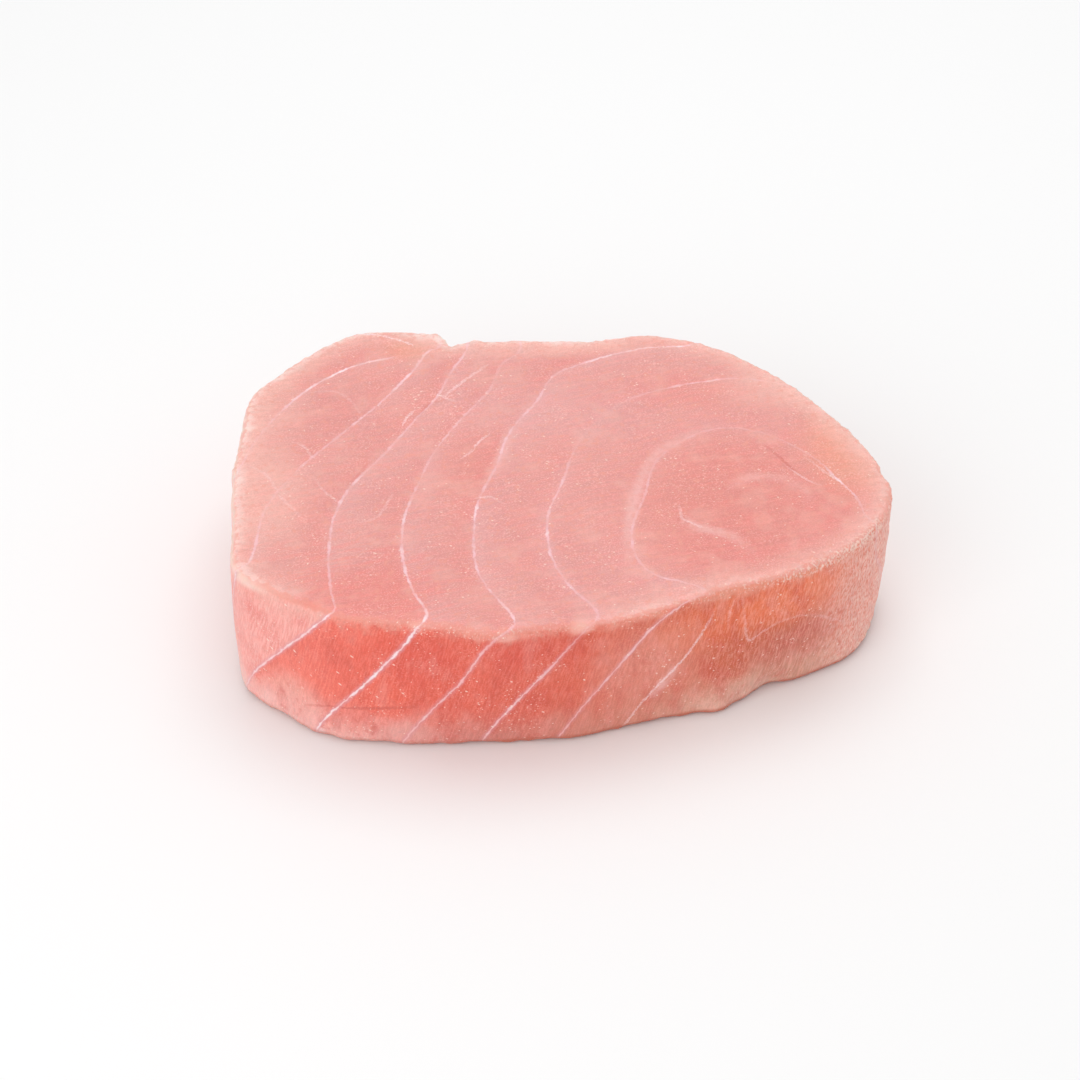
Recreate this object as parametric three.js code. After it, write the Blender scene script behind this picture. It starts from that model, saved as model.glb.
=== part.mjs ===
// A raw tuna steak: one thick slice cut across a loin, lying on its flat underside.
// Millimetres, +Z up. The origin is the middle of the steak's footprint, on the surface it rests on.

import * as THREE from "three";

// Driving dimensions
const THICKNESS = 28;
const TOP_EDGE_RADIUS = 1.3;
const TOP_EDGE_VARIATION = 0.4;
const BOTTOM_EDGE_RADIUS = 1.6;
const SIDE_BULGE = 0.35;
const TOP_SWELL = 0.3;
const SIDE_RIPPLE = 0.11;

// The cut edge seen from above, counter-clockwise from the right-hand end: x, y, and how far the bottom edge
// stands out beyond the top edge there (negative where the side is undercut).
const OUTLINE = [
  [59.3, -6.0, -1.5],
  [56.7, 6.4, -1.5],
  [46.5, 23.0, -0.5],
  [36.0, 34.9, 0.0],
  [25.0, 41.7, 0.5],
  [15.0, 44.0, 0.8],
  [5.0, 41.5, 0.5],
  [-10.0, 41.9, 0.5],
  [-19.5, 41.0, 0.5],
  [-30.0, 44.1, 0.8],
  [-41.4, 42.4, 0.8],
  [-52.6, 32.2, 0.5],
  [-58.1, 23.6, 0.5],
  [-59.6, 7.0, 0.6],
  [-59.0, -13.0, -0.1],
  [-57.2, -28.2, 0.2],
  [-50.8, -33.2, 1.5],
  [-39.6, -40.0, 2.2],
  [-26.0, -42.6, 1.2],
  [-12.5, -44.2, -1.0],
  [1.2, -42.8, -0.5],
  [16.0, -38.8, -1.1],
  [27.4, -33.6, 0.7],
  [43.3, -27.0, -1.0],
  [53.0, -19.4, 0.1],
];

// Torn and dented places on the side: the nearest outline place, how far the flesh is pushed out (negative for
// a nick), the half-width along the edge, the height of its middle and its half-height.
const TEARS = [
  { name: "back split", x: -20.7, y: 42.5, push: -2.6, half: 0.75, z: THICKNESS, tall: 15 },
  { name: "lip beside the split", x: -24.0, y: 43.9, push: 0.9, half: 2.0, z: THICKNESS, tall: 12 },
  { name: "nub beyond the split", x: -16.6, y: 41.5, push: 1.2, half: 1.2, z: THICKNESS, tall: 8 },
  { name: "left flap", x: -59.9, y: 1.6, push: 0.9, half: 1.5, z: THICKNESS - 1, tall: 7 },
  { name: "right dent", x: 58.8, y: 0.6, push: -0.8, half: 1.2, z: THICKNESS, tall: 7 },
  { name: "sagging crest", x: -12.5, y: -44.2, push: 1.3, half: 4.0, z: THICKNESS - 2, tall: 6 },
  { name: "notch in the foot", x: 36.4, y: -28.8, push: -2.0, half: 2.9, z: 0, tall: 4 },
  { name: "swelling in the foot", x: 26.6, y: -33.6, push: 1.2, half: 3.0, z: 0, tall: 5 },
];

// Slow waves along the side, so that no stretch of the cut is machine-flat: how many go round the edge (whole
// numbers close the seam), their size, where they start, and how far they slant between the foot and the top.
const SIDE_WAVES = [
  { round: 11, size: 1.0, start: 1.3, slant: 1.1 },
  { round: 23, size: 0.8, start: 0.4, slant: -2.3 },
  { round: 41, size: 0.6, start: 2.6, slant: 3.7 },
];

// Slow swells of the cut face on top: their size, their reach along x and y, and where they start.
const TOP_WAVES = [
  { size: 0.5, x: 13, y: 17, start: 0.7 },
  { size: 0.5, x: 13, y: -17, start: 0.7 },
  { size: 0.6, x: 7.3, y: 9.1, start: 2.0 },
];

// The top edge is rounder in some places than in others. These waves are multiplied.
const TOP_EDGE_WAVES = [
  { round: 5, start: 0.9 },
  { round: 9, start: 2.1 },
];

// Mesh density
const AROUND = 192;
const CLOSER_AT_SPLIT = 3.0;
const SPLIT_REACH = 4.0;
const TOP_EDGE_STEPS = 4;
const SIDE_STEPS = 7;
const BOTTOM_EDGE_STEPS = 2;
const TOP_RINGS = [
  [0.96, AROUND],
  [0.9, AROUND / 2],
  [0.82, AROUND / 2],
  [0.73, AROUND / 2],
  [0.63, AROUND / 2],
  [0.53, AROUND / 4],
  [0.42, AROUND / 4],
  [0.31, AROUND / 4],
  [0.2, AROUND / 8],
  [0.09, AROUND / 16],
];
const BOTTOM_RINGS = [
  [0.94, AROUND / 2],
  [0.78, AROUND / 4],
  [0.52, AROUND / 8],
  [0.24, AROUND / 16],
];

const OUTLINE_SAMPLES = 1500;
const TAU = 2 * Math.PI;

function bell(distance, half) {
  return Math.exp(-((distance / half) ** 2));
}

// The outline as many close samples: place, outward direction, distance along the edge, and lean.
function sampleOutline() {
  const plan = new THREE.CatmullRomCurve3(
    OUTLINE.map(([x, y]) => new THREE.Vector3(x, y, 0)),
    true,
    "centripetal",
  );
  const lean = new THREE.CatmullRomCurve3(
    OUTLINE.map(([, , out], i) => new THREE.Vector3(i, out, 0)),
    true,
    "catmullrom",
  );
  const samples = [];
  let along = 0;
  for (let i = 0; i < OUTLINE_SAMPLES; i++) {
    const t = i / OUTLINE_SAMPLES;
    const place = plan.getPoint(t);
    const tangent = plan.getTangent(t);
    if (i > 0) along += place.distanceTo(samples[i - 1].place);
    samples.push({
      place,
      outward: new THREE.Vector3(tangent.y, -tangent.x, 0),
      along,
      lean: lean.getPoint(t).y,
    });
  }
  return samples;
}

const samples = sampleOutline();
const last = samples[samples.length - 1];
const PERIMETER = last.along + last.place.distanceTo(samples[0].place);

function nearestSample(x, y) {
  const target = new THREE.Vector3(x, y, 0);
  return samples.reduce((best, s) =>
    s.place.distanceToSquared(target) < best.place.distanceToSquared(target) ? s : best,
  );
}

for (const tear of TEARS) tear.along = nearestSample(tear.x, tear.y).along;
const split = TEARS[0];

// The shorter way round the edge between two places on it.
function alongGap(a, b) {
  const gap = Math.abs(a - b) % PERIMETER;
  return Math.min(gap, PERIMETER - gap);
}

// Picks AROUND places on the edge, closer together at the split at the back.
function edgePlaces() {
  const weight = samples.map(
    (s) => 1 + CLOSER_AT_SPLIT * bell(alongGap(s.along, split.along), SPLIT_REACH),
  );
  const total = weight.reduce((sum, w) => sum + w, 0);
  const places = [];
  let reached = 0;
  samples.forEach((s, i) => {
    if (reached >= (places.length * total) / AROUND && places.length < AROUND) places.push(s);
    reached += weight[i];
  });
  return places;
}

function turnAt(along) {
  return (TAU * along) / PERIMETER;
}

function ripple(along, z) {
  const rise = z / THICKNESS;
  const waves = SIDE_WAVES.map(
    (w) => w.size * Math.sin(w.round * turnAt(along) + w.start + w.slant * rise),
  );
  return SIDE_RIPPLE * waves.reduce((sum, wave) => sum + wave, 0);
}

function tornBy(along, z) {
  return TEARS.reduce(
    (sum, t) => sum + t.push * bell(alongGap(along, t.along), t.half) * bell(z - t.z, t.tall),
    0,
  );
}

// The cut face on top isn't dead flat: the flesh swells and sinks a little between its membranes.
function topHeight(x, y) {
  const waves = TOP_WAVES.map((w) => w.size * Math.sin(x / w.x + y / w.y + w.start));
  return THICKNESS - TOP_SWELL + TOP_SWELL * waves.reduce((sum, wave) => sum + wave, 0);
}

function topEdgeRadius(along) {
  const waves = TOP_EDGE_WAVES.map((w) => Math.sin(w.round * turnAt(along) + w.start));
  return TOP_EDGE_RADIUS + TOP_EDGE_VARIATION * waves.reduce((product, wave) => product * wave, 1);
}

// A point of the side: a place on the edge pushed outward, at a height.
function sidePoint(s, out, z) {
  const push = out + ripple(s.along, z) + tornBy(s.along, z);
  return s.place.clone().addScaledVector(s.outward, push).setZ(z);
}

// Rings of points from the top's rim down to the foot.
function sideRings(places) {
  const rings = [];
  const quarter = Math.PI / 2;
  for (let i = 0; i <= TOP_EDGE_STEPS; i++) {
    const a = (quarter * i) / TOP_EDGE_STEPS;
    rings.push(
      places.map((s) => {
        const r = topEdgeRadius(s.along);
        const top = topHeight(s.place.x, s.place.y);
        return sidePoint(s, r * (Math.sin(a) - 1), top - r * (1 - Math.cos(a)));
      }),
    );
  }
  for (let i = 1; i <= SIDE_STEPS; i++) {
    const t = i / SIDE_STEPS;
    rings.push(
      places.map((s) => {
        const high = topHeight(s.place.x, s.place.y) - topEdgeRadius(s.along);
        const z = high + (BOTTOM_EDGE_RADIUS - high) * t;
        return sidePoint(s, SIDE_BULGE * Math.sin(Math.PI * t) + s.lean * t, z);
      }),
    );
  }
  for (let i = 1; i <= BOTTOM_EDGE_STEPS; i++) {
    const b = (quarter * i) / BOTTOM_EDGE_STEPS;
    const z = BOTTOM_EDGE_RADIUS * (1 - Math.sin(b));
    rings.push(places.map((s) => sidePoint(s, s.lean - BOTTOM_EDGE_RADIUS * (1 - Math.cos(b)), z)));
  }
  return rings;
}

// A smaller copy of a rim: every so-many-th point, drawn in towards the middle.
function innerRing(rim, [scale, count], height) {
  const step = rim.length / count;
  return Array.from({ length: count }, (_, i) => {
    const p = rim[i * step];
    const x = p.x * scale;
    const y = p.y * scale;
    return new THREE.Vector3(x, y, height(x, y));
  });
}

// Triangles between two rings, where the inner one has as many points or half as many.
function stitch(outer, inner, triangles) {
  const ratio = outer.length / inner.length;
  for (let i = 0; i < inner.length; i++) {
    const a = inner[i];
    const b = inner[(i + 1) % inner.length];
    const o = outer[i * ratio];
    if (ratio === 2) {
      const mid = outer[i * ratio + 1];
      const end = outer[(i * ratio + 2) % outer.length];
      triangles.push([o, mid, a], [a, mid, b], [b, mid, end]);
    } else {
      const end = outer[(i + 1) % outer.length];
      triangles.push([o, end, a], [a, end, b]);
    }
  }
}

function fan(ring, middle, triangles) {
  ring.forEach((p, i) => triangles.push([p, ring[(i + 1) % ring.length], middle]));
}

function facingDown(triangles) {
  return triangles.map(([a, b, c]) => [a, c, b]);
}

function buildSteak() {
  const side = sideRings(edgePlaces());
  const topRings = [side[0], ...TOP_RINGS.map((ring) => innerRing(side[0], ring, topHeight))];
  const foot = side[side.length - 1];
  const bottomRings = [foot, ...BOTTOM_RINGS.map((ring) => innerRing(foot, ring, () => 0))];

  const top = [];
  for (let i = 1; i < topRings.length; i++) stitch(topRings[i - 1], topRings[i], top);
  fan(topRings[topRings.length - 1], new THREE.Vector3(0, 0, topHeight(0, 0)), top);

  const bottom = [];
  for (let i = 1; i < bottomRings.length; i++) stitch(bottomRings[i - 1], bottomRings[i], bottom);
  fan(bottomRings[bottomRings.length - 1], new THREE.Vector3(0, 0, 0), bottom);

  const wall = [];
  for (let i = 1; i < side.length; i++) stitch(side[i], side[i - 1], wall);

  const triangles = [...top, ...wall, ...facingDown(bottom)];
  const geometry = new THREE.BufferGeometry().setFromPoints(triangles.flat());
  geometry.computeVertexNormals();
  geometry.computeBoundingBox();
  const middle = geometry.boundingBox.getCenter(new THREE.Vector3());
  geometry.translate(-middle.x, -middle.y, 0);
  return geometry;
}

const flesh = new THREE.MeshStandardMaterial({
  name: "raw_tuna_flesh",
  color: 0xe9a09a,
  roughness: 0.38,
  metalness: 0,
});

const steak = new THREE.Mesh(buildSteak(), flesh);
steak.name = "tuna_steak";

const part = new THREE.Group();
part.add(steak);

export default part;
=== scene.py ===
import math

import bpy
import numpy as np
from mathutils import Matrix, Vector, noise


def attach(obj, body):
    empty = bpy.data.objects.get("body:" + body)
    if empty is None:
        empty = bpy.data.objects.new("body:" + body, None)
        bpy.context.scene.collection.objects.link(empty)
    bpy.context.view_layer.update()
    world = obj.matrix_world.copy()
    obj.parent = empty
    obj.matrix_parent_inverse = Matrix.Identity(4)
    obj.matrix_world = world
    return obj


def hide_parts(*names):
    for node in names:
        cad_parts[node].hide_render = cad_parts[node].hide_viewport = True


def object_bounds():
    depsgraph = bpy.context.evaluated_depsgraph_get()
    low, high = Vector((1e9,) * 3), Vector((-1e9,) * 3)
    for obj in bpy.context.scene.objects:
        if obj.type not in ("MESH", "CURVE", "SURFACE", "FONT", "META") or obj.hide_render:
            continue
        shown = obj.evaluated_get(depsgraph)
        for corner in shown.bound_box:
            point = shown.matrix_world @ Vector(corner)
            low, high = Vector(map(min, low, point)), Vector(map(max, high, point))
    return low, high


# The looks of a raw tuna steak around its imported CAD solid. Places and sizes below are in millimetres, in
# the frame of the part: X along the steak, Y away from the camera, Z up from the surface it lies on.
MM = 0.001

# The camera of the photo. Its place, and those of the lights, are in metres.
CAMERA_ELEVATION = math.radians(39)
CAMERA_DISTANCE = 0.55
CAMERA_LENS = 100
CAMERA_AIM = Vector((-0.0037, -0.0030, 0.014))

# The studio: each light's place, size and power, the brightness all around, and the floor
LIGHTS = {
    "overhead light": ((0.05, 0.22, 0.62), 0.45, 1.15),
    "front light": ((-0.3, -0.46, 0.36), 0.45, 0.9),
}
WORLD_STRENGTH = 0.76
FLOOR_SIZE = 4
FLOOR_WHITE = (0.92, 0.92, 0.92, 1)

# The fine mesh over the solid: the size of its faces, and how many times its facets are smoothed
GRID = 0.56
SMOOTHING = 4

# The height of the cut face, and half the length and width of an oval that fits its outline
TOP = 28.0
HALF_LENGTH = 60.0
HALF_WIDTH = 46.0

# The relief: for each unevenness, how large its features are and how far they stand out
SWELLS = (8.0, 0.07)
DIMPLES = (1.8, 0.035)
CREST_CRUMBS = (1.6, 0.34)
FOOT_WAVES = (3.2, 0.3)
SIDE_FIBRES = (1.5, 0.05)
END_ROUGHNESS = 0.16
FIBRE_STRETCH = 0.3

# Lines in the relief: how wide each is and how deep, or how high where it crosses the crest
CREASE_HALF = 0.55
CREASE_DEPTH = 0.06
CREASE_ON_CREST = 0.2
SCAR_HALF = 0.6
SCAR_DEPTH = 0.12
FOOT_HEIGHT = 2.2

# Along X, the side turns from smooth to coarse between these places
RIGHT_END = (42, 56)

# The flesh is laid in bands with thin white membranes between them, nested round a core at the right. Each
# membrane is a line on the cut faces: x, y and how plainly it shows there. The lines are drawn on the steak
# with its side folded out flat around the top, so one line runs on over the rim and down the side. They go
# from the back edge, over the top, to the front edge, and the flesh inside a line lies to its right.
MEMBRANES = [
    [
        (-49, 72.6, 0.5), (-31, 50.6, 0.5), (-27.5, 41.6, 0.1), (-28.0, 36.6, 0.0), (-31.4, 35.0, 0.1),
        (-33.0, 34.6, 0.9), (-39.7, 32.2, 1.0), (-47.0, 26.4, 0.9), (-52.5, 17.2, 0.6), (-56.4, 7.1, 0.4),
        (-59.2, -1.4, 0.4), (-70, -13.4, 0.6), (-88, -29.4, 0.6),
    ],
    [
        (-44, 75.6, 0.5), (-26, 48.6, 0.5), (-22.8, 39.2, 0.4), (-25.4, 36.6, 0.9), (-27.4, 31.5, 0.9),
        (-32.7, 22.9, 0.8), (-38.5, 15.1, 0.8), (-43.1, 8, 0.6), (-48.9, -1.9, 0.4), (-53.2, -12, 0.5),
        (-54.2, -22.5, 0.8), (-55.0, -26.4, 1.0), (-58.0, -29, 0.9), (-66, -32.4, 0.6), (-88, -42.4, 0.6),
    ],
    [
        (-38, 72.6, 0.5), (-21, 50.6, 0.5), (-17.7, 39.7, 0.6), (-20.4, 30.9, 0.7), (-23.2, 22.6, 0.6),
        (-27.4, 15.7, 0.6), (-33.3, 5, 0.7), (-38.3, -4.8, 0.8), (-40.6, -14, 0.8), (-40.8, -26.6, 0.7),
        (-39.9, -34.4, 0.8), (-39.2, -39.3, 1.0), (-43.9, -41.8, 1.0), (-49.9, -43.9, 0.9),
        (-60.7, -45.9, 0.9), (-75.0, -47, 0.8), (-88, -49.4, 0.7),
    ],
    [
        (-28, 72.6, 0.5), (-11, 52.6, 0.5), (-7.5, 38.7, 0.4), (-10.9, 34.1, 0.4), (-13.5, 24.5, 0.3),
        (-19.4, 14.4, 0.6), (-23.8, 5.9, 0.6), (-26.7, -4.8, 0.7), (-28.2, -14, 0.9), (-27.8, -25.2, 0.8),
        (-25.9, -33.4, 0.9), (-23.0, -41, 1.0), (-25.7, -44.6, 1.0), (-34.1, -51.5, 1.0),
        (-44.5, -57.7, 1.0), (-57.2, -63.2, 1.0), (-70, -71.4, 1.0),
    ],
    [
        (10, 72.6, 0.5), (29, 44.6, 0.4), (25.0, 40, 0.9), (17.4, 39, 1.0), (6.8, 35.1, 0.9),
        (-0.9, 30.5, 0.5), (-4.3, 21.9, 0.8), (-9.2, 12, 0.8), (-11.7, 2.3, 0.8), (-15.0, -8.3, 0.8),
        (-15.6, -14.4, 0.9), (-15.1, -26.4, 0.8), (-13.5, -31.9, 0.9), (-8.0, -43, 0.8),
        (-11.2, -46.4, 0.3), (-14.8, -50.1, 0.6), (-20.3, -56.2, 0.6), (-31.4, -64.5, 0.8),
        (-46, -75.4, 0.8),
    ],
    [
        (66, 50.6, 0.4), (53, 20.6, 0.2), (43.3, 26.7, 0.3), (34.1, 28.9, 0.6), (26.4, 27.3, 0.9),
        (18.8, 24.8, 0.6), (11.6, 21, 0.1), (5.2, 12.6, 0.1), (2.1, 4.4, 0.3), (0.4, -3.4, 0.7),
        (-2.3, -13.4, 0.8), (-1.6, -25.2, 0.8), (1.5, -32.8, 0.7), (6.4, -40.4, 0.6), (4.0, -44.4, 0.3),
        (-2.2, -53, 0.6), (-8.7, -59.9, 0.8), (-17.9, -68.7, 0.8), (-25, -76.4, 0.8),
    ],
    [
        (88, -7.4, 0.4), (64, -18.4, 0.4), (54.9, -14, 0.5), (53.6, -8.3, 0.7), (50.5, -2.4, 0.9),
        (47.6, 3, 0.3), (39.5, 10.4, 0.3), (31.4, 12.9, 0.4), (23.9, 10.1, 0.5), (17.6, 2.6, 0.3),
        (15.1, -7.7, 0.7), (12.6, -16.9, 0.7), (13.3, -25.2, 0.7), (16.3, -29.7, 0.8), (22.2, -32.2, 0.5),
        (25.2, -34.2, 0.2), (22.4, -36.3, 0.4), (17.0, -42.5, 0.7), (11.7, -51.9, 0.6), (4.2, -62.6, 0.6),
        (-7, -77.4, 0.7),
    ],
]

# The milky haze along each membrane: how wide it is on the left and on the right of the line
HAZE = [(0.5, 1.4), (0.5, 1.8), (0.6, 4.4), (0.6, 3.0), (0.7, 3.2), (2.4, 1.2), (4.2, 0.5)]

# The bands left of the first membrane and right of the last are taken to be this wide
END_BAND = 12.0

# The left face of the steak is paler than the rest of its side. It ends at the third membrane.
PALE_FACE_ENDS = 3

# The membranes lean through the steak, and come out below this far to the side for each millimetre down
LEAN_OF_MEMBRANES = 0.75

# Short thin marks, drawn the same way: strands of membrane that end within the flesh, threads of connective
# tissue, and scratches whose glints are painted in as pale strokes
WHITE_MARKS = [
    [(-40.5, 42.8, 0.3), (-35.4, 42.2, 0.9), (-31.5, 40.9, 1.0), (-28.6, 39.2, 0.9)],
    [(21.3, -10.6, 0.3), (21.5, -12.4, 0.6), (21.7, -14.0, 0.6)],
    [(21.9, -14.3, 0.8), (24.6, -16.3, 0.6), (26.8, -17.0, 0.1)],
    [(45.0, 4.6, 0.1), (48.2, 0.2, 0.6), (50.1, -2.1, 0.7)],
    [(41.6, 1.4, 0.1), (43.4, -0.9, 0.7), (45.2, -2.9, 0.6), (46.6, -3.8, 0.2)],
    [
        (28.4, -39, 0.3), (27.8, -43.1, 0.8), (25.8, -49, 1.0), (22.2, -55, 1.0), (18.4, -60.7, 0.9),
        (15.4, -65.9, 0.9), (11, -72.4, 0.8),
    ],
    [(31.7, -35.6, 0.3), (32.1, -38.8, 0.4), (33.0, -41.0, 0.2)],
    [
        (33.2, -35.2, 0.2), (36.6, -40.0, 0.4), (39.9, -43.4, 0.6), (41.7, -41.4, 0.5),
        (46.1, -37.7, 0.3), (52.8, -35.1, 0.2), (61.2, -33.5, 0.3), (66.3, -31.8, 0.1),
    ],
    [(-22.4, 23, 0.8), (-20.8, 22, 0.5), (-19.4, 21.4, 0.2)],
    [(-15.0, -8, 0.7), (-13.0, -7.8, 0.4), (-10.6, -9.6, 0.2)],
    [(-47.2, 24.5, 0.1), (-44.3, 25.1, 0.3), (-41.6, 24.5, 0.3), (-39.2, 21.6, 0.2), (-37.7, 18.5, 0.2)],
    [(-48.8, 8.4, 0.2), (-47.3, 7.4, 0.5), (-45.6, 4.4, 0.4)],
    [(-57.5, 1.7, 0.1), (-55.2, 0.2, 0.3), (-53.3, -1.5, 0.4), (-51.3, -5.6, 0.3)],
    [(-44.1, -3.3, 0.2), (-43.1, -5.6, 0.4), (-40.6, -8.5, 0.5)],
    [(-50.3, -8.0, 0.4), (-48.7, -10.3, 0.4), (-46.9, -12.9, 0.3)],
    [(-35.6, -15.1, 0.2), (-33.2, -13.7, 0.4), (-31.9, -10.8, 0.4), (-31.1, -7.4, 0.3)],
    [(-29.4, 15.1, 0.7), (-28.6, 17.0, 0.9), (-27.5, 18.5, 0.6)],
    [(-16.0, 7.4, 0.8), (-14.7, 9.3, 0.9), (-13.5, 10.8, 0.5)],
    [(-21.5, 23.2, 0.4), (-19.1, 26.4, 0.8), (-16.9, 29.3, 0.7), (-13.8, 33.2, 0.3)],
    [(-18.1, 4.7, 0.7), (-16.5, 6.2, 0.6)],
]

# Cracks, grooved in the relief and darker than the flesh: their own red, with painted shade in them
DARK_MARKS = [
    [(38.2, 7.2, 0.5), (40.0, 4.6, 0.9), (42.2, 1.2, 0.9), (44.0, -1.2, 0.4)],
    [(20.9, -14.7, 0.4), (21.6, -13.2, 0.8), (22.6, -15.6, 0.4)],
    [(-57.2, -57.5, 0.4), (-51.7, -58.8, 0.9), (-45.7, -60.1, 1.0), (-34.6, -61.1, 0.9), (-30, -61, 0.3)],
    [(-35.8, 2.6, 0.3), (-36.8, 0, 0.6), (-38.6, -3.8, 0.3)],
    [(-26.6, 17.2, 0.3), (-24.6, 20.4, 0.6), (-21.0, 22.2, 0.2)],
]

# Wide soft pale streaks: membrane that lies a little below the cut
SMEARS = [
    [
        (24.5, 11.2, 0.3), (18.5, 6.2, 0.7), (15.0, -2.0, 0.9), (12.8, -11.0, 0.9), (12.0, -19.0, 0.7),
        (12.4, -26.0, 0.3),
    ],
    [(-7.8, 14.0, 0.2), (-9.4, 10.0, 0.7), (-11.0, 4.0, 0.7), (-12.8, -1.0, 0.3)],
    [
        (31.4, -4.5, 0.3), (33.9, -2.1, 0.7), (37.0, -1.5, 0.6), (41.4, -2.7, 0.4), (44.4, -6.2, 0.4),
        (44.7, -10.0, 0.1),
    ],
    [(22.4, -14.8, 0.6), (25.0, -16.9, 0.9), (28.1, -17.9, 0.9), (30.7, -19.2, 0.7), (33.3, -22.6, 0.2)],
    [(23.9, -52.6, 0.8), (22.8, -55.0, 1.0), (21.3, -57.4, 0.7)],
]

# How far from its line a mark or a smear can still show
MARK_REACH = 1.3
SMEAR_REACH = 3.0

# Half the width of each kind of line in the material, at its thinnest and at its thickest
LINE_ON_TOP = (0.2, 0.42)
LINE_ON_SIDE = (0.11, 0.23)
LINE_EDGE = 0.85
MARK_HALF = 0.4

# How light spreads in the flesh, and how glossy it is
SPREAD = 0.6
SPREAD_IN_GLINTS = 0.1
SPREAD_COLOURS = (1.0, 0.32, 0.25)
SPREAD_DISTANCE = 0.002
GLOSS = 0.45
ROUGHNESS = (0.36, 0.52)
BUMP_HEIGHT = 0.00012
BUMP_STRENGTH = 0.8


def srgb(red, green, blue):
    """A colour read off a screen as 0 to 255, as the linear colour that a shader takes."""

    def linear(value):
        value /= 255
        return value / 12.92 if value <= 0.04045 else ((value + 0.055) / 1.055) ** 2.4

    return (linear(red), linear(green), linear(blue), 1.0)


# The cut face
PINK = srgb(228, 158, 151)
ROSE = srgb(224, 150, 144)
FLUSHED = srgb(229, 134, 126)
RING_RED = srgb(225, 136, 126)
MILKY = srgb(231, 179, 180)
PEACH = srgb(241, 188, 176)
WARM_PEACH = srgb(236, 158, 134)
ORANGE_TINT = srgb(236, 166, 140)
CREAM = srgb(247, 220, 214)

# The side
FACE_PINK = srgb(249, 172, 164)
BRIGHT_RED = srgb(222, 82, 68)
GRANULE_RED = srgb(206, 82, 70)
VEIL = srgb(234, 152, 142)
SALMON = srgb(236, 118, 74)
ORANGE = srgb(240, 128, 88)
DUSKY = srgb(204, 108, 88)
END_RED = srgb(230, 126, 104)
END_PALE_FIBRE_AND_GLINT = srgb(254, 210, 198)
# Painted shade: the thin dark line along the foot
PAINTED_FOOT_SHADE = srgb(196, 104, 78)

# The rim between them: a painted highlight along the crest, a painted glow on the lip, and pale calluses
PAINTED_LIP_GLOW = srgb(248, 224, 212)
CREST_HIGHLIGHT_PALE = srgb(236, 160, 144)
CREST_HIGHLIGHT_SALMON = srgb(236, 160, 138)
CALLUS = srgb(247, 194, 182)

# Membranes and marks, painted shade in the cracks, and painted sheen, glints and sparkle
MEMBRANE_TOP = srgb(244, 200, 208)
MEMBRANE_SIDE = srgb(248, 200, 198)
BARE_MEMBRANE_AND_GLINT_WHITE = srgb(255, 230, 234)
MEMBRANE_EDGE = srgb(226, 158, 164)
SMEAR_PALE = srgb(240, 188, 184)
CRACK_RED_AND_SHADE = srgb(206, 92, 82)
PAINTED_GLINT_WHITE = srgb(255, 232, 220)
PAINTED_GRAIN_SHEEN = srgb(255, 214, 206)
PAINTED_SPARKLE = srgb(255, 224, 212)

# The side's colour halfway up and at its foot, from the left end of the steak to the right. The paler foot
# is painted light from the pale floor.
SIDE_BODY = [
    (-50, srgb(244, 127, 111)),
    (-30, srgb(238, 108, 87)),
    (-8, srgb(226, 101, 80)),
    (20, srgb(216, 103, 72)),
    (40, srgb(204, 100, 66)),
    (58, srgb(232, 156, 140)),
]
SIDE_FOOT = [
    (-52, srgb(250, 193, 186)),
    (-34, srgb(242, 182, 175)),
    (-12, srgb(212, 130, 118)),
    (15, srgb(218, 146, 126)),
    (31, srgb(230, 190, 172)),
    (43, srgb(212, 152, 130)),
    (58, srgb(248, 214, 200)),
]

# Patches of the flesh with a tint of their own: middle, radii, tint and how strong it is
TOP_PATCHES = [
    ((32, -10, 28), (30, 26, 30), RING_RED, 0.75),
    ((33, 4, 28), (16, 8, 30), FLUSHED, 0.3),
    ((30, -24, 28), (20, 9, 30), FLUSHED, 0.5),
    ((49, -12, 28), (10, 13, 30), FLUSHED, 0.5),
    ((-30, -8, 28), (8, 14, 30), ROSE, 0.4),
    ((34, -12.9, 28), (5, 3, 30), FLUSHED, 0.35),
    ((-42, 18, 28), (13, 16, 30), ROSE, 0.5),
    ((-33, -35, 28), (16, 12, 30), FLUSHED, 0.8),
    ((-52, -8, 28), (10, 20, 30), PEACH, 0.6),
    ((-16, 2, 28), (9, 16, 30), RING_RED, 0.4),
    ((24, 24, 28), (16, 8, 30), FLUSHED, 0.4),
    ((40, 26, 28), (16, 9, 30), PEACH, 0.4),
    ((53, 8, 28), (12, 22, 30), WARM_PEACH, 0.8),
    ((-29, 37.6, 28), (7, 5, 30), ORANGE_TINT, 0.6),
    ((-53, 20, 28), (9, 16, 30), PEACH, 0.4),
    ((0, 18, 28), (26, 14, 30), MILKY, 0.25),
    ((-2, 39, 28), (20, 5, 30), PEACH, 0.3),
]
SIDE_PATCHES = [
    ((-38, -36, 19), (12, 12, 9), BRIGHT_RED, 0.3),
    ((-24, -40, 20), (12, 12, 10), BRIGHT_RED, 0.55),
    ((-8, -43, 23), (8, 12, 7), BRIGHT_RED, 0.5),
    ((1, -42, 22), (7, 12, 7), BRIGHT_RED, 0.3),
    ((40, -28, 23), (22, 18, 10), SALMON, 0.95),
    ((35, -31, 22), (13, 10, 6), ORANGE, 0.25),
    ((43, -27, 10), (16, 14, 8), DUSKY, 0.85),
    ((25, -36, 21), (14, 12, 8), SALMON, 0.6),
    ((15, -40, 14), (15, 14, 15), PEACH, 0.3),
    ((-46, -36, 7), (9, 9, 7), PEACH, 0.5),
]

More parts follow.
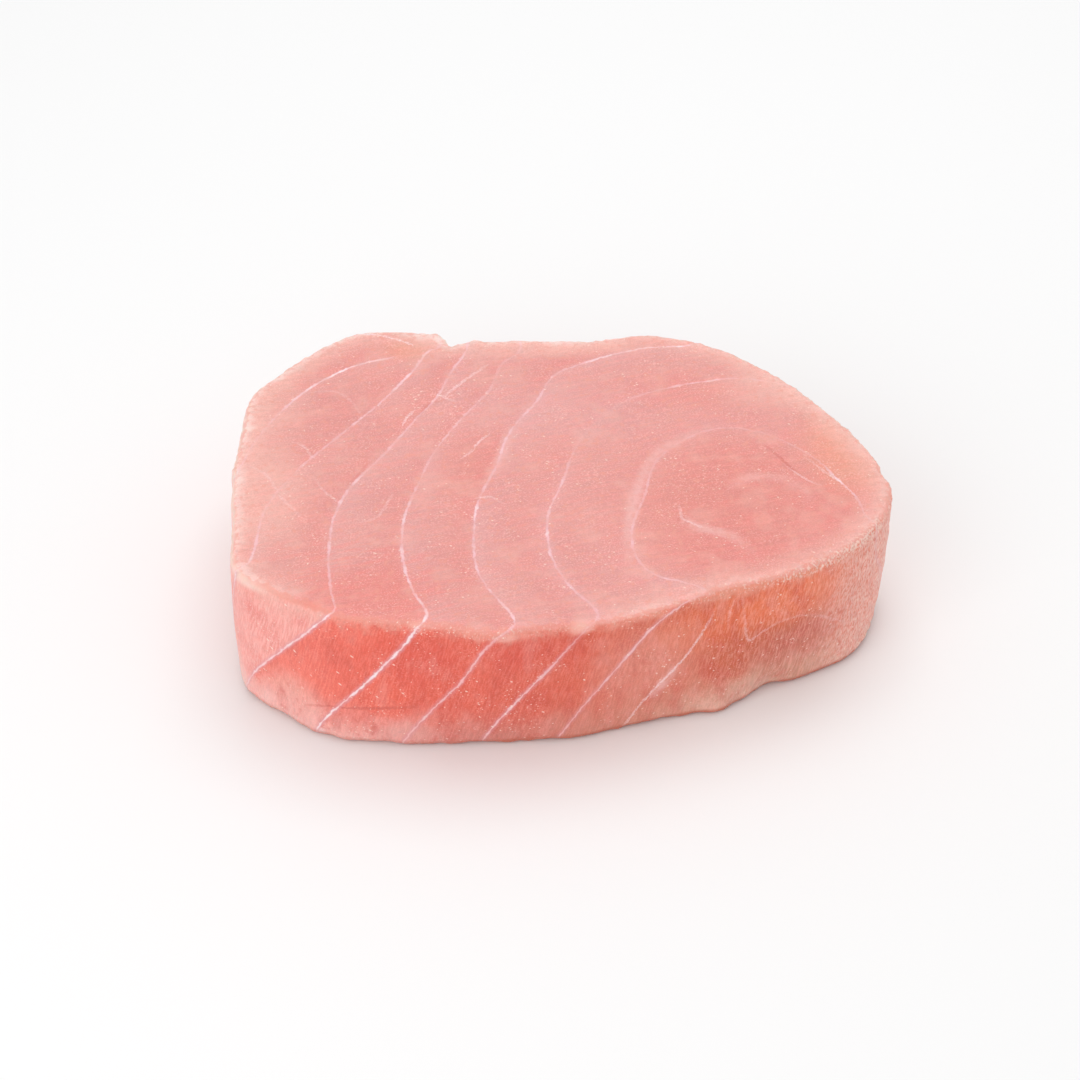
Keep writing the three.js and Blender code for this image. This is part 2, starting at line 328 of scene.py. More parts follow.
# A torn end of a membrane at the foot, and pale calluses on the rim beside the membranes that cross it
PALE_SPOTS = [
    ((-42.1, -40.2, 1.7), (1.8, 1.6, 1.3), BARE_MEMBRANE_AND_GLINT_WHITE, 0.7),
    ((-24.5, -42.3, 26.8), (2.4, 2.0, 1.5), CALLUS, 0.4),
    ((-9.9, -44.8, 26.4), (3.0, 2.4, 1.5), CALLUS, 0.5),
    ((3.2, -41.8, 26.4), (3.0, 2.4, 1.5), CALLUS, 0.65),
]

# Two wide patches at the front left of the top: one is streaked red, and the other has no pale rim
STREAKED = ((-34, -34, 28), (26, 20, 30))
WITHOUT_RIM = ((-22, -42, 28), (42, 20, 30))


def bell(distance, half):
    return np.exp(-((distance / half) ** 2))


def ease(value, low, high):
    """0 below low, 1 above high, and a smooth rise between."""
    t = np.clip((value - low) / (high - low), 0, 1)
    return t * t * (3 - 2 * t)


def spline(points, step=1.2):
    """Close places along a smooth curve through the points. A third value is carried along."""
    p = np.array(points, float)
    p = np.vstack([2 * p[0] - p[1], p, 2 * p[-1] - p[-2]])
    places = []
    for i in range(1, len(p) - 2):
        length = np.linalg.norm(p[i + 1, :2] - p[i, :2])
        t = np.linspace(0, 1, max(2, int(length / step)), endpoint=False)[:, None]
        knots = np.sqrt([np.linalg.norm(p[k + 1, :2] - p[k, :2]) for k in range(i - 1, i + 2)])
        before = (p[i] - p[i - 1]) / knots[0] - (p[i + 1] - p[i - 1]) / (knots[0] + knots[1])
        after = (p[i + 2] - p[i + 1]) / knots[2] - (p[i + 2] - p[i]) / (knots[1] + knots[2])
        direct = (p[i + 1] - p[i]) / knots[1]
        start = (before + direct) * knots[1]
        end = (after + direct) * knots[1]
        places.append(
            p[i] * (1 + 2 * t) * (1 - t) ** 2
            + start * t * (1 - t) ** 2
            + p[i + 1] * t * t * (3 - 2 * t)
            + end * t * t * (t - 1)
        )
    return np.vstack([*places, p[-2:-1]])


def nearest_on(curve, places, at_once=20000):
    """For each place: its distance to the curve, on which side it lies, and what the curve carries there."""
    start = curve[:-1]
    along = curve[1:] - start
    length = (along[:, :2] ** 2).sum(1)
    distance = np.empty(len(places))
    side = np.empty(len(places))
    carried = np.empty(len(places))
    for first in range(0, len(places), at_once):
        part = places[first : first + at_once]
        dx = part[:, 0:1] - start[:, 0]
        dy = part[:, 1:2] - start[:, 1]
        t = np.clip((dx * along[:, 0] + dy * along[:, 1]) / length, 0, 1)
        gap = (dx - t * along[:, 0]) ** 2 + (dy - t * along[:, 1]) ** 2
        best = gap.argmin(1)
        rows = np.arange(len(part))
        chosen = slice(first, first + len(part))
        distance[chosen] = np.sqrt(gap[rows, best])
        side[chosen] = np.sign(dy[rows, best] * along[best, 0] - dx[rows, best] * along[best, 1])
        carried[chosen] = start[best, 2] + t[rows, best] * along[best, 2]
    return distance, side, carried


def inside(loop, places):
    """True for each place inside the closed loop."""
    odd = np.zeros(len(places), bool)
    for (x0, y0), (x1, y1) in zip(loop, np.roll(loop, -1, axis=0)):
        if y0 == y1:
            continue
        level = (y0 > places[:, 1]) != (y1 > places[:, 1])
        crossing = x0 + (places[:, 1] - y0) * (x1 - x0) / (y1 - y0)
        odd ^= level & (places[:, 0] < crossing)
    return odd


def fractal(places, size, octaves=3, seed=0.0):
    """Smooth noise from about -1 to 1, whose largest features are about size across."""
    shift = Vector((seed, 2.3 * seed, -1.7 * seed))
    return np.array([noise.fractal(Vector(p) / size + shift, 1.0, 2.0, octaves) for p in places])


def fine_copy(node, name):
    """A new object with the form of the CAD node in small even faces, its facets smoothed away."""
    piece = bpy.data.objects.new(name, node.data.copy())
    bpy.context.scene.collection.objects.link(piece)
    remesh = piece.modifiers.new("small faces", "REMESH")
    remesh.mode = "VOXEL"
    remesh.voxel_size = GRID * MM
    smooth = piece.modifiers.new("no facets", "SMOOTH")
    smooth.factor = 0.5
    smooth.iterations = SMOOTHING
    evaluated = piece.evaluated_get(bpy.context.evaluated_depsgraph_get())
    mesh = bpy.data.meshes.new_from_object(evaluated)
    piece.modifiers.clear()
    piece.data = mesh
    mesh.materials.clear()
    mesh.shade_smooth()
    return piece


def read(mesh, what, attribute):
    values = np.empty(len(mesh.vertices) * 3)
    getattr(mesh, what).foreach_get(attribute, values)
    return values.reshape(-1, 3)


def store(mesh, name, values):
    mesh.attributes.new(name, "FLOAT", "POINT").data.foreach_set("value", values.astype(np.float32))


def folded_out(places):
    """The places as they lie when the side is folded out flat around the top."""
    outward = places[:, :2] / (HALF_LENGTH**2, HALF_WIDTH**2)
    outward /= np.linalg.norm(outward, axis=1)[:, None] + 1e-9
    return places[:, :2] + outward * (TOP - places[:, 2])[:, None]


def membrane_distances(flat, far=300):
    """Each place's distance to every membrane, above 0 to the right of it, and how plainly that shows."""
    distances = []
    shows = []
    for line in MEMBRANES:
        curve = spline(line)
        closing = [(curve[-1, 0], -far), (far, -far), (far, far), (curve[0, 0], far)]
        within = inside(np.vstack([curve[:, :2], closing]), flat)
        distance, _, show = nearest_on(curve, flat)
        distances.append(np.where(within, distance, -distance))
        shows.append(show)
    return np.array(distances), np.array(shows)


def haze_field(distances, shows):
    """The haze fades away from each membrane, at a rate of its own on either side."""
    haze = np.zeros(distances.shape[1])
    for distance, show, (left, right) in zip(distances, shows, HAZE):
        width = np.where(distance > 0, right, left)
        haze = np.maximum(haze, np.exp(-np.abs(distance) / width) * (0.4 + 0.6 * show))
    return haze


def membrane_fields(flat):
    """Where each place lies between the membranes, and how plainly they and their haze show there."""
    distances, shows = membrane_distances(flat)
    steps = np.vstack([distances[:1] + END_BAND, distances, distances[-1:] - END_BAND])
    band = (distances > 0).sum(0)
    rows = np.arange(len(flat))
    into = np.maximum(steps[band, rows], 0)
    to_go = np.maximum(-steps[band + 1, rows], 0)
    gap = into + to_go + 1e-6
    part = into / gap
    part = np.where(band == 0, np.maximum(part, 0.5), part)
    part = np.where(band == len(MEMBRANES), np.minimum(part, 0.5), part)
    nearest = np.abs(distances).argmin(0)
    return {
        "band": band + part,
        "band_width": gap,
        "membrane_shows": np.clip(shows[nearest, rows], 0, 1),
        "haze": haze_field(distances, shows),
        "to_membrane": distances[nearest, rows],
    }


def mark_fields(marks, flat, reach, beyond=9.0):
    """The signed distance to the nearest of some short marks, and how plainly it shows."""
    signed = np.full(len(flat), beyond)
    shows = np.zeros(len(flat))
    for line in marks:
        distance, side, show = nearest_on(spline(line, step=0.5), flat)
        closer = distance < np.abs(signed)
        signed = np.where(closer, distance * side, signed)
        shows = np.where(closer, show * ease(distance, reach, 0.5 * reach), shows)
    return signed, shows


def uneven(places, kind, octaves, seed):
    size, height = kind
    return height * fractal(places, size, octaves, seed)


def relief(places, lying, fields):
    """How far the surface stands out at each place: swells, dimples, creases, crumbs and fibres."""
    x, _, z = places.T
    on_top = ease(lying, 0.6, 0.95)
    on_side = 1 - ease(np.abs(lying), 0.2, 0.7)
    on_crest = bell(lying - 0.5, 0.35) * ease(z, 18, 24)
    at_right_end = on_side * ease(x, *RIGHT_END)
    crease = fields["membrane_shows"] * bell(fields["to_membrane"], CREASE_HALF)
    scar = fields["dark_shows"] * bell(fields["dark_mark"], SCAR_HALF)
    fibre_size, fibre_height = SIDE_FIBRES
    fibres = fractal(places * (1, 1, FIBRE_STRETCH), fibre_size, 3, 9.0)
    return (
        uneven(places, SWELLS, 2, 1.0)
        + uneven(places, DIMPLES, 2, 4.0)
        + (on_side - on_top) * CREASE_DEPTH * crease
        + on_crest * uneven(places, CREST_CRUMBS, 3, 7.0)
        + on_crest * CREASE_ON_CREST * crease
        + (fibre_height * on_side + END_ROUGHNESS * at_right_end) * fibres
        + bell(z, FOOT_HEIGHT) * uneven(places, FOOT_WAVES, 2, 12.0)
        - SCAR_DEPTH * scar
    )


def rim_distance(places, lying, depth=5, every=8):
    """How far each place is from the outline of the top, as seen from above."""
    edge = places[(lying < 0.5) & (places[:, 2] > TOP - depth)][:, :2]
    angle = np.arctan2(edge[:, 1] / HALF_WIDTH, edge[:, 0] / HALF_LENGTH)
    edge = edge[np.argsort(angle)][::every]
    outline = np.column_stack([edge, np.zeros(len(edge))])
    return nearest_on(outline, places)[0]


def dress(piece):
    """Gives the fine mesh its relief and the fields that the material reads."""
    mesh = piece.data
    places = read(mesh, "vertices", "co") / MM
    normals = read(mesh, "vertex_normals", "vector")
    lying = normals[:, 2].copy()
    underneath = (lying < -0.7)[:, None]
    flat = np.where(underneath, places[:, :2] + (LEAN_OF_MEMBRANES * TOP, 0), folded_out(places))
    fields = membrane_fields(flat)
    fields["white_mark"], fields["white_shows"] = mark_fields(WHITE_MARKS, flat, MARK_REACH)
    fields["dark_mark"], fields["dark_shows"] = mark_fields(DARK_MARKS, flat, MARK_REACH)
    fields["smear_mark"], fields["smear_shows"] = mark_fields(SMEARS, flat, SMEAR_REACH)
    fields["lying"] = lying
    fields["rim"] = rim_distance(places, lying)
    for name, values in fields.items():
        store(mesh, name, values)
    moved = places * MM + normals * relief(places, lying, fields)[:, None] * MM
    moved = np.clip(moved, np.array(CAD_LOW), np.array(CAD_HIGH))
    mesh.vertices.foreach_set("co", moved.ravel())
    mesh.update()


class Graph:
    """Short ways to make the shader nodes of one material."""

    def __init__(self, material):
        material.use_nodes = True
        self.nodes = material.node_tree.nodes
        self.links = material.node_tree.links
        self.nodes.clear()

    def node(self, kind, inputs, **settings):
        made = self.nodes.new("ShaderNode" + kind)
        for name, value in settings.items():
            setattr(made, name, value)
        for key, value in inputs.items():
            if isinstance(value, bpy.types.NodeSocket):
                self.links.new(value, made.inputs[key])
            else:
                made.inputs[key].default_value = value
        return made

    def field(self, name):
        return self.node("Attribute", {}, attribute_name=name).outputs["Fac"]

    def math(self, operation, a, b=0.0):
        return self.node("Math", {0: a, 1: b}, operation=operation).outputs[0]

    def ramp(self, value, low, high, bottom=0.0, top=1.0):
        """bottom where the value is at low, top where it is at high, and eased between."""
        inputs = {"Value": value, "From Min": low, "From Max": high, "To Min": bottom, "To Max": top}
        return self.node("MapRange", inputs, interpolation_type="SMOOTHSTEP").outputs["Result"]

    def plus(self, *values):
        total = values[0]
        for value in values[1:]:
            total = self.math("ADD", total, value)
        return total

    def times(self, *values):
        product = values[0]
        for value in values[1:]:
            product = self.math("MULTIPLY", product, value)
        return product

    def most(self, *values):
        top = values[0]
        for value in values[1:]:
            top = self.math("MAXIMUM", top, value)
        return top

    def swing(self, value, amount):
        """A noise moved to lie around 0 and made larger or smaller."""
        return self.times(self.math("SUBTRACT", value, 0.5), amount)

    def mix(self, amount, a, b, blend="MIX"):
        inputs = {0: amount, 6: a, 7: b}
        return self.node("Mix", inputs, data_type="RGBA", blend_type=blend).outputs[2]

    def place(self, place, scale=(1, 1, 1), shift=(0, 0, 0)):
        return self.node("Mapping", {"Vector": place, "Scale": scale, "Location": shift}).outputs[0]

    def grained(self, place, scale, turn):
        """The place turned by so many degrees about X, Y and Z, and then stretched into fibres."""
        turned = self.node("Mapping", {"Vector": place, "Rotation": [math.radians(t) for t in turn]})
        return self.place(turned.outputs[0], scale=scale)

    def noise(self, place, size, detail=2.0, roughness=0.5):
        inputs = {"Vector": place, "Scale": 1 / size, "Detail": detail, "Roughness": roughness}
        return self.node("TexNoise", inputs).outputs[0]

    def noise_vector(self, place, size):
        return self.node("TexNoise", {"Vector": place, "Scale": 1 / size, "Detail": 1.0}).outputs[1]

    def cells(self, place, size):
        return self.node("TexVoronoi", {"Vector": place, "Scale": 1 / size}).outputs

    def chosen(self, cells, chance):
        """1 in a share of the cells, about as large as the chance, and 0 in the others."""
        lot = self.node("SeparateColor", {0: cells["Color"]}).outputs[0]
        return self.math("GREATER_THAN", self.plus(lot, chance), 0.99)

    def stops(self, value, stops):
        """Colours in a smooth run along a value, from pairs of a value and a colour in rising order."""
        low = stops[0][0]
        high = stops[-1][0]
        inputs = {"Value": value, "From Min": low, "From Max": high}
        share = self.node("MapRange", inputs).outputs["Result"]
        run = self.node("ValToRGB", {0: share})
        elements = run.color_ramp.elements
        elements[0].color = stops[0][1]
        elements[1].color = stops[-1][1]
        for at, colour in stops[1:-1]:
            elements.new((at - low) / (high - low)).color = colour
        return run.outputs[0]

    def spot(self, place, centre, radii):
        """1 in the middle of an oval patch, easing to 0 at its radii."""
        inverse = [1 / r for r in radii]
        shift = [-c / r for c, r in zip(centre, radii)]
        reach = self.place(place, scale=inverse, shift=shift)
        length = self.node("VectorMath", {0: reach}, operation="LENGTH").outputs["Value"]
        return self.ramp(length, 1.0, 0.25)


class Textures:
    """The noises that the parts of the material share."""

    def __init__(self, g, mm):
        bend = g.node("Mix", {0: 0.4, 4: mm, 5: g.noise_vector(mm, 6)}, data_type="VECTOR").outputs[1]
        self.swell = g.noise(mm, 16, detail=2)
        self.patchy = g.noise(mm, 5, detail=3)
        self.blotch = g.noise(g.place(mm, scale=(1, 1, 0.5)), 3.6, detail=3)
        self.uneven = g.noise(mm, 2.2, detail=2)
        self.mottle = g.noise(mm, 1.2, detail=2)
        self.jitter = g.noise(mm, 0.8, detail=2)
        self.grain = g.noise(mm, 0.3, detail=1)
        self.crumbs = g.noise(mm, 0.42, detail=1)
        self.level = g.noise(g.grained(bend, (0.3, 1.9, 1.0), (0, 0, -17)), 1.0, detail=3)
        self.upright = g.noise(g.grained(mm, (3.4, 3.4, 0.45), (0, -14, 0)), 1.0, detail=2)
        self.coarse = g.noise(g.grained(mm, (3.0, 3.0, 1.0), (0, -18, 0)), 1.0, detail=3)


def tinted(g, mm, colour, patches):
    for middle, radii, tint, amount in patches:
        colour = g.mix(g.times(g.spot(mm, middle, radii), amount), colour, tint)
    return colour


def band_colour(g, noises, band, haze):
    """Pink bands, redder before each membrane and milky after it."""
    colour = g.mix(g.ramp(noises.swell, 0.35, 0.65), PINK, ROSE)
    before = g.ramp(g.math("FRACT", band), 0.4, 0.97)
    colour = g.mix(g.times(before, g.ramp(noises.patchy, 0.3, 0.7, 0.15, 0.5)), colour, FLUSHED)
    return g.mix(g.times(haze, g.ramp(noises.swell, 0.3, 0.62, 0.25, 0.6)), colour, MILKY)


def top_colour(g, mm, noises, axes):
    """The cut face: its bands, patches and red streaks, and a creamy rim of painted glow, light through the
    thin edge, that is faint at the front.
    """
    colour = band_colour(g, noises, g.field("band"), g.field("haze"))
    colour = tinted(g, mm, colour, TOP_PATCHES)
    streaky = g.ramp(g.spot(mm, *STREAKED), 0.0, 1.0, 0.2, 0.6)
    colour = g.mix(g.times(g.ramp(noises.level, 0.42, 0.7), streaky), colour, FLUSHED)
    colour = g.mix(g.times(g.ramp(noises.patchy, 0.5, 0.3), 0.25), colour, PEACH)
    ragged = g.plus(g.field("rim"), g.times(noises.patchy, 4))
    has_rim = g.ramp(g.spot(mm, *WITHOUT_RIM), 0.0, 0.6, 1.0, 0.0)
    far = g.ramp(axes["Y"], -30, 15, 0.6, 1.0)
    left = g.ramp(axes["X"], -5, 22, 1.0, 0.25)
    # Painted glow: peach and cream along the thin rim, where light shines through the edge
    colour = g.mix(g.times(g.ramp(ragged, 9.5, 2.5), has_rim, far, 0.85), colour, PEACH)
    return g.mix(g.times(g.ramp(ragged, 5.0, 2.1), has_rim, far, left, 0.9), colour, CREAM)


def side_flesh(g, mm, noises, axes, low):
    """Coral flesh, paler towards its foot with painted light from the floor, with red and pale blotches, red
    granules and fine hairs.
    """
    colour = g.stops(axes["X"], SIDE_BODY)
    colour = tinted(g, mm, colour, SIDE_PATCHES)
    # Painted light: the foot paler, lit from the floor below
    colour = g.mix(g.times(g.ramp(low, 16, 5.5), 0.95), colour, g.stops(axes["X"], SIDE_FOOT))
    colour = g.mix(g.times(g.ramp(noises.blotch, 0.48, 0.7), 0.35), colour, GRANULE_RED)
    colour = g.mix(g.times(g.ramp(noises.blotch, 0.48, 0.3), 0.3), colour, VEIL)
    granules = g.times(g.ramp(noises.mottle, 0.52, 0.68), g.ramp(noises.patchy, 0.35, 0.6), 0.3)
    colour = g.mix(granules, colour, GRANULE_RED)
    hairs = g.times(g.ramp(noises.upright, 0.4, 0.7), g.ramp(axes["X"], 15, 40, 0.1, 0.26))
    return g.mix(hairs, colour, END_PALE_FIBRE_AND_GLINT)


def left_face(g, noises, low, below):
    """The pale pink face at the left, whiter at its foot with painted light from the floor, and peach under
    the rim with painted highlight.
    """
    face = g.mix(g.times(g.ramp(noises.patchy, 0.42, 0.68), 0.4), FACE_PINK, FLUSHED)
    face = g.mix(g.times(g.ramp(noises.upright, 0.45, 0.7), 0.18), face, CREAM)
    # Painted light: the foot whiter, lit from the floor below
    face = g.mix(g.times(g.ramp(low, 13, 5), 0.4), face, CREAM)
    # Painted highlight: peach under the rim
    return g.mix(g.times(g.ramp(below, 7, 0.5), 0.55), face, PEACH)


def side_colour(g, mm, noises, axes):
    """The cut side: coral flesh under a ragged pale crest of painted highlight, coarse at the right end and
    pink at the left.
    """
    low = g.plus(axes["Z"], g.times(noises.patchy, 9))
    colour = side_flesh(g, mm, noises, axes, low)
    below = g.math("SUBTRACT", TOP, axes["Z"])
    below = g.plus(below, g.swing(noises.patchy, 6), g.swing(noises.mottle, 3))
    # Painted highlight: a pale band under the edge of the top, salmon towards the right
    crest = g.mix(g.ramp(axes["X"], 0, 30), CREST_HIGHLIGHT_PALE, CREST_HIGHLIGHT_SALMON)
    colour = g.mix(g.times(g.ramp(below, 3.4, 0.6), 0.85), colour, crest)
    # The coarse right end: red flesh with pale fibres, partly painted glints
    coarse = g.times(g.ramp(axes["X"], *RIGHT_END), g.ramp(axes["Y"], -8, 8, 0.8, 0.55))
    colour = g.mix(coarse, colour, g.mix(g.ramp(noises.coarse, 0.32, 0.7), END_RED, END_PALE_FIBRE_AND_GLINT))
    on_face = g.ramp(g.field("band"), PALE_FACE_ENDS + 0.03, PALE_FACE_ENDS - 0.03)
    streaked = g.ramp(noises.upright, 0.3, 0.7, 0.75, 1.0)
    return g.mix(g.times(on_face, streaked), colour, left_face(g, noises, low, below))


def with_fibres(g, colour, noises, fibres, on_side):
    """Lighter and darker fibres over a fine grain, with a painted pale sheen on the highest grains."""
    light = g.plus(
        g.ramp(fibres, 0.3, 0.7, -0.035, 0.035),
        g.ramp(noises.mottle, 0.3, 0.7, -0.02, 0.02),
        g.ramp(noises.grain, 0.25, 0.6, -0.05, 0.02),
        1.0,
    )
    lit = g.node("CombineXYZ", {0: light, 1: light, 2: light}).outputs[0]
    colour = g.mix(1.0, colour, lit, blend="MULTIPLY")
    # Painted sheen: pinkish white on the highest grains, weaker on the side
    painted_sheen = g.times(g.ramp(noises.patchy, 0.35, 0.65, 0.08, 0.34), g.ramp(on_side, 0.0, 1.0, 1.0, 0.45))
    return g.mix(g.times(g.ramp(noises.grain, 0.5, 0.72), painted_sheen), colour, PAINTED_GRAIN_SHEEN)


def with_pale_rim(g, mm, colour, axes, rounded):
    """Painted light on the rim: a painted highlight along the rounded crest, and a painted glow through the
    thin lip around the back and the left.
    """
    # Painted highlight on the rounded crest
    crest = g.times(g.ramp(rounded, 0.3, 0.6), g.ramp(rounded, 1.0, 0.85), g.ramp(axes["Z"], 20, 24))
    colour = g.mix(g.times(crest, 0.6), colour, CREST_HIGHLIGHT_PALE)
    behind = g.most(g.ramp(axes["Y"], 0, 15), g.ramp(axes["X"], -48, -56))
    # Painted glow: the thin pale lip around the back and the left
    lip = g.times(g.ramp(g.field("rim"), 1.0, 0.1), behind, g.ramp(axes["Z"], 25, 26.8))
    colour = g.mix(g.times(lip, 0.65), colour, PAINTED_LIP_GLOW)
    return tinted(g, mm, colour, PALE_SPOTS)


def line_mask(g, signed, half):
    """1 along the line where the signed distance is 0, easing to 0 at its edges."""
    return g.ramp(g.math("DIVIDE", g.math("ABSOLUTE", signed), half), 1.0, 0.3)


def membrane_masks(g, noises, on_side):
    """The ragged lines on top, the plainer ones on the side, and the darker edges of those."""
    band = g.plus(g.field("band"), 0.5)
    turned = g.math("SUBTRACT", g.math("FRACT", band), 0.5)
    wobble = g.times(g.math("SUBTRACT", g.plus(noises.jitter, noises.mottle), 1.0), 0.45)
    signed = g.plus(g.times(turned, g.field("band_width")), wobble)
    shows = g.field("membrane_shows")
    broken = g.ramp(noises.patchy, 0.35, 0.62, 0.35, 0.95)
    broken = g.times(broken, g.ramp(noises.uneven, 0.3, 0.55, 0.5, 1.0))
    top_half = g.ramp(noises.uneven, 0.3, 0.7, *LINE_ON_TOP)
    side_half = g.ramp(noises.uneven, 0.3, 0.7, *LINE_ON_SIDE)
    on_top = g.times(line_mask(g, signed, top_half), shows, broken)
    down_side = g.times(line_mask(g, signed, side_half), shows, on_side, 0.9)
    edge = g.times(line_mask(g, signed, LINE_EDGE), shows, on_side, 0.55)
    return on_top, down_side, edge


def mark_mask(g, noises, mark):
    """A short drawn mark, thin and broken up by the grain."""
    signed = g.plus(g.field(mark + "_mark"), g.swing(noises.jitter, 0.7))
    broken = g.ramp(noises.grain, 0.35, 0.6, 0.35, 1.0)
    return g.times(line_mask(g, signed, MARK_HALF), g.field(mark + "_shows"), broken, 0.6)


def smear_mask(g, noises):
    signed = g.plus(g.field("smear_mark"), g.swing(noises.uneven, 1.6))
    near = g.ramp(g.math("ABSOLUTE", signed), 2.0, 0.0)
    return g.times(near, g.field("smear_shows"), g.ramp(noises.mottle, 0.3, 0.65, 0.35, 0.75))


def with_lines(g, colour, noises, on_side):
    """Smears under cracks under membranes. A membrane is brightest where it lies bare."""
    on_top, down_side, edge = membrane_masks(g, noises, on_side)
    bare = g.plus(g.field("membrane_shows"), g.swing(noises.uneven, 0.9))
    bright = g.ramp(bare, 0.78, 1.15)
    colour = g.mix(smear_mask(g, noises), colour, SMEAR_PALE)
    # Cracks: darker red with painted shade in them
    colour = g.mix(mark_mask(g, noises, "dark"), colour, CRACK_RED_AND_SHADE)
    colour = g.mix(edge, colour, MEMBRANE_EDGE)
    colour = g.mix(on_top, colour, g.mix(bright, MEMBRANE_TOP, BARE_MEMBRANE_AND_GLINT_WHITE))
    # White marks: pale strands and threads, and painted highlights along the scratches
    colour = g.mix(mark_mask(g, noises, "white"), colour, BARE_MEMBRANE_AND_GLINT_WHITE)
    return g.mix(down_side, colour, g.mix(bright, MEMBRANE_SIDE, BARE_MEMBRANE_AND_GLINT_WHITE))


def painted_glint_mask(g, mm, noises, on_side):
    """Painted highlights: small pale glints as dots and longer dashes, a few on top and more on the side."""
    dots = g.cells(g.grained(mm, (0.7, 1.6, 1.6), (0, 25, -30)), 0.5)
    gathered = g.ramp(g.plus(noises.patchy, g.times(noises.uneven, 0.5)), 0.7, 0.95)
    chance = g.plus(g.times(gathered, 0.07), g.times(gathered, on_side, 0.09))
    round_ones = g.times(g.ramp(dots["Distance"], 0.42, 0.15), g.chosen(dots, chance))
    dashes = g.cells(g.grained(mm, (0.5, 1.5, 1.3), (0, -35, 20)), 0.8)
    chance = g.times(g.ramp(noises.patchy, 0.5, 0.62), g.ramp(on_side, 0.0, 1.0, 0.04, 0.12))
    long_ones = g.times(g.ramp(dashes["Distance"], 0.34, 0.12), g.chosen(dashes, chance))
    return g.most(round_ones, long_ones)


def painted_sparkle_mask(g, noises, axes):
    """Painted highlights: pale sparkle on the wet crumbs of flesh along the front rim, thickest towards the
    right end.
    """
    front = g.times(g.ramp(axes["Y"], -10, -16), g.ramp(axes["X"], -45, -20))
    near = g.times(g.ramp(g.field("rim"), 1.7, 0.3), g.ramp(axes["Z"], 25.0, 26.5))
    thick = g.plus(noises.crumbs, g.ramp(axes["X"], 30, 48, 0.0, 0.1))
    return g.times(g.ramp(thick, 0.57, 0.68), g.ramp(axes["X"], 20, 48, 0.4, 1.0), near, front)


def bump_normal(g, noises, axes, fibres, on_side, painted_sparkle):
    end = g.times(noises.coarse, on_side, g.ramp(axes["X"], 40, 56), 1.5)
    height = g.plus(g.times(noises.grain, 0.6), g.times(fibres, 0.5), g.times(painted_sparkle, 0.8), end)
    inputs = {"Height": height, "Distance": BUMP_HEIGHT, "Strength": BUMP_STRENGTH}
    return g.node("Bump", inputs).outputs[0]


def flesh_material():
    material = bpy.data.materials.new("raw_tuna_flesh")
    g = Graph(material)
    metres = g.node("TexCoord", {}).outputs["Object"]
    mm = g.place(metres, scale=(1 / MM, 1 / MM, 1 / MM))
    axes = g.node("SeparateXYZ", {0: mm}).outputs
    noises = Textures(g, mm)

    rounded = g.plus(g.field("lying"), g.swing(noises.mottle, 0.6))
    on_side = g.ramp(rounded, 0.75, 0.4)
    colour = g.mix(on_side, top_colour(g, mm, noises, axes), side_colour(g, mm, noises, axes))
    fibres = g.node("Mix", {0: on_side, 2: noises.level, 3: noises.upright}).outputs[0]
    colour = with_fibres(g, colour, noises, fibres, on_side)
    colour = with_pale_rim(g, mm, colour, axes, rounded)
    colour = with_lines(g, colour, noises, on_side)

    painted_glints = painted_glint_mask(g, mm, noises, on_side)
    painted_sparkle = painted_sparkle_mask(g, noises, axes)
    # Painted highlights: the pale glints, painted into the colour
    colour = g.mix(g.times(painted_glints, 0.7), colour, PAINTED_GLINT_WHITE)
    # Painted highlights: the sparkle along the front rim
    colour = g.mix(g.times(painted_sparkle, 0.65), colour, PAINTED_SPARKLE)

    # A thin line of painted shade closes the foot, and light doesn't spread far through the painted glints
    # and sparkle
    foot = g.times(g.ramp(axes["Z"], 2.0, 0.8), g.ramp(axes["X"], -40, 10, 0.4, 0.9))
    colour = g.mix(foot, colour, PAINTED_FOOT_SHADE)
    held_back = g.times(g.most(painted_glints, painted_sparkle), SPREAD - SPREAD_IN_GLINTS)

    shader = g.node("BsdfPrincipled", {
        "Base Color": colour,
        "Roughness": g.ramp(noises.grain, 0.3, 0.7, *ROUGHNESS),
        "Normal": bump_normal(g, noises, axes, fibres, on_side, painted_sparkle),
        "Subsurface Weight": g.math("SUBTRACT", SPREAD, held_back),
        "Subsurface Radius": SPREAD_COLOURS,
        "Subsurface Scale": SPREAD_DISTANCE,
        "Specular IOR Level": GLOSS,
    })
    out = g.node("OutputMaterial", {})
    g.links.new(shader.outputs[0], out.inputs["Surface"])
    return material


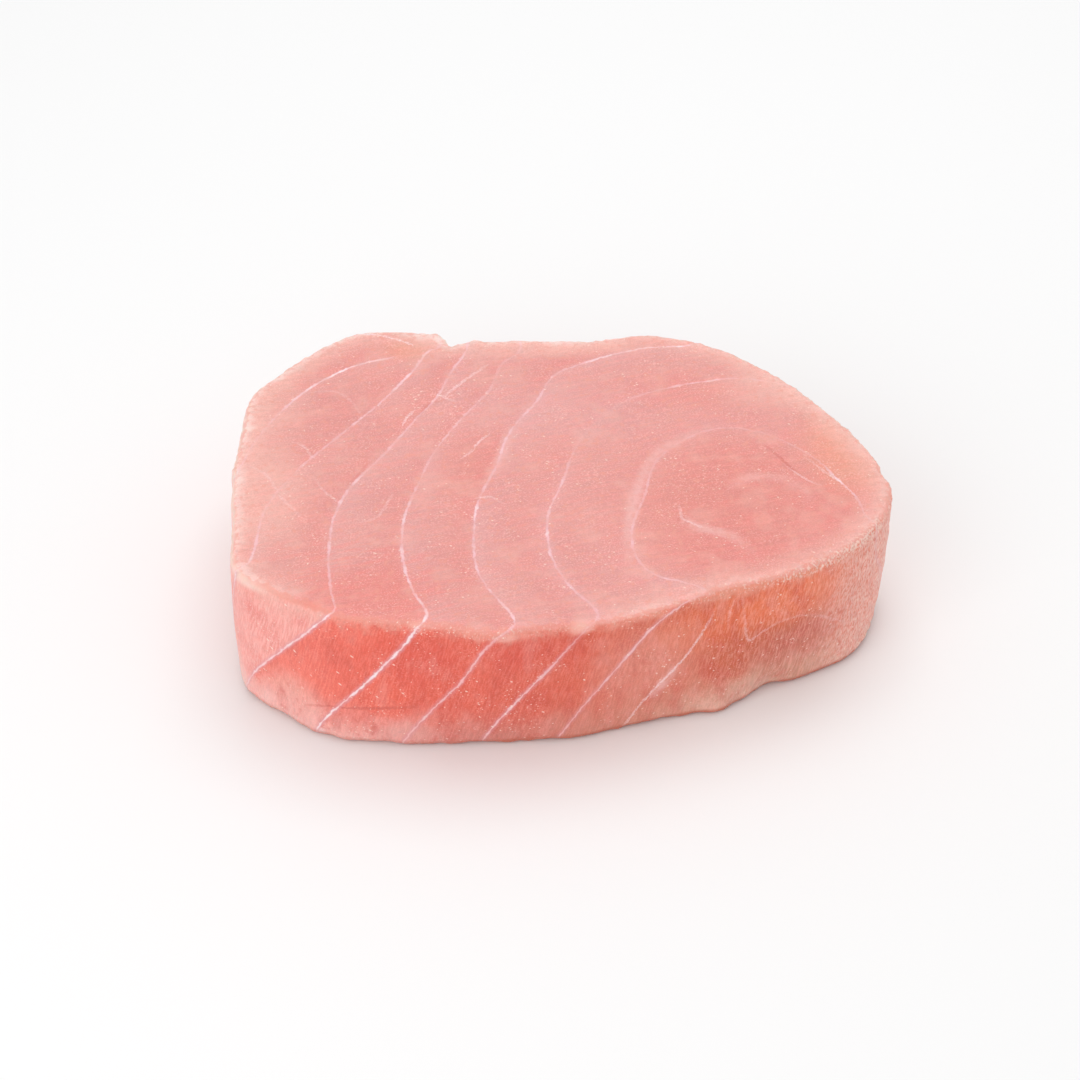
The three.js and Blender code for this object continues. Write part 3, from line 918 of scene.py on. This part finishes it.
def floor():
    bpy.ops.mesh.primitive_plane_add(size=FLOOR_SIZE)
    plane = bpy.context.object
    plane.name = "floor"
    material = bpy.data.materials.new("pale_floor")
    material.use_nodes = True
    shader = material.node_tree.nodes["Principled BSDF"]
    shader.inputs["Base Color"].default_value = FLOOR_WHITE
    shader.inputs["Roughness"].default_value = 0.7
    shader.inputs["Specular IOR Level"].default_value = 0.2
    plane.data.materials.append(material)


def area_light(name, place, size, power):
    """A square soft light that faces the middle of the steak."""
    light = bpy.data.lights.new(name, "AREA")
    light.size = size
    light.energy = power
    lamp = bpy.data.objects.new(name, light)
    lamp.location = place
    lamp.rotation_euler = (CAMERA_AIM - Vector(place)).to_track_quat("-Z", "Y").to_euler()
    bpy.context.scene.collection.objects.link(lamp)


def studio():
    world = bpy.data.worlds.new("white studio")
    world.use_nodes = True
    background = world.node_tree.nodes["Background"]
    background.inputs["Color"].default_value = (1, 1, 1, 1)
    background.inputs["Strength"].default_value = WORLD_STRENGTH
    scene = bpy.context.scene
    scene.world = world
    scene.view_settings.view_transform = "Standard"
    for name, (place, size, power) in LIGHTS.items():
        area_light(name, place, size, power)


def camera():
    lens = bpy.data.cameras.new("camera")
    lens.lens = CAMERA_LENS
    eye = bpy.data.objects.new("camera", lens)
    back = Vector((0, -math.cos(CAMERA_ELEVATION), math.sin(CAMERA_ELEVATION)))
    eye.location = CAMERA_AIM + back * CAMERA_DISTANCE
    eye.rotation_euler = (-back).to_track_quat("-Z", "Y").to_euler()
    bpy.context.scene.collection.objects.link(eye)
    bpy.context.scene.camera = eye


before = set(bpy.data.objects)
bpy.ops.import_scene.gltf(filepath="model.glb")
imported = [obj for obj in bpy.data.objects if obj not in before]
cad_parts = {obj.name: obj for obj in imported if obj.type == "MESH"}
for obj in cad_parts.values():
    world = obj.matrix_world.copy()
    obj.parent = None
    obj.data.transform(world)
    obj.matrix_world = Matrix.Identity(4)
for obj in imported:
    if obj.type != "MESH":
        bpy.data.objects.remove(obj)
CAD_LOW, CAD_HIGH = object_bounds()

camera()
studio()
floor()

flesh = fine_copy(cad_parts["tuna_steak"], "tuna_flesh")
dress(flesh)
flesh.data.materials.append(flesh_material())
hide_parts("tuna_steak")
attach(flesh, "root")
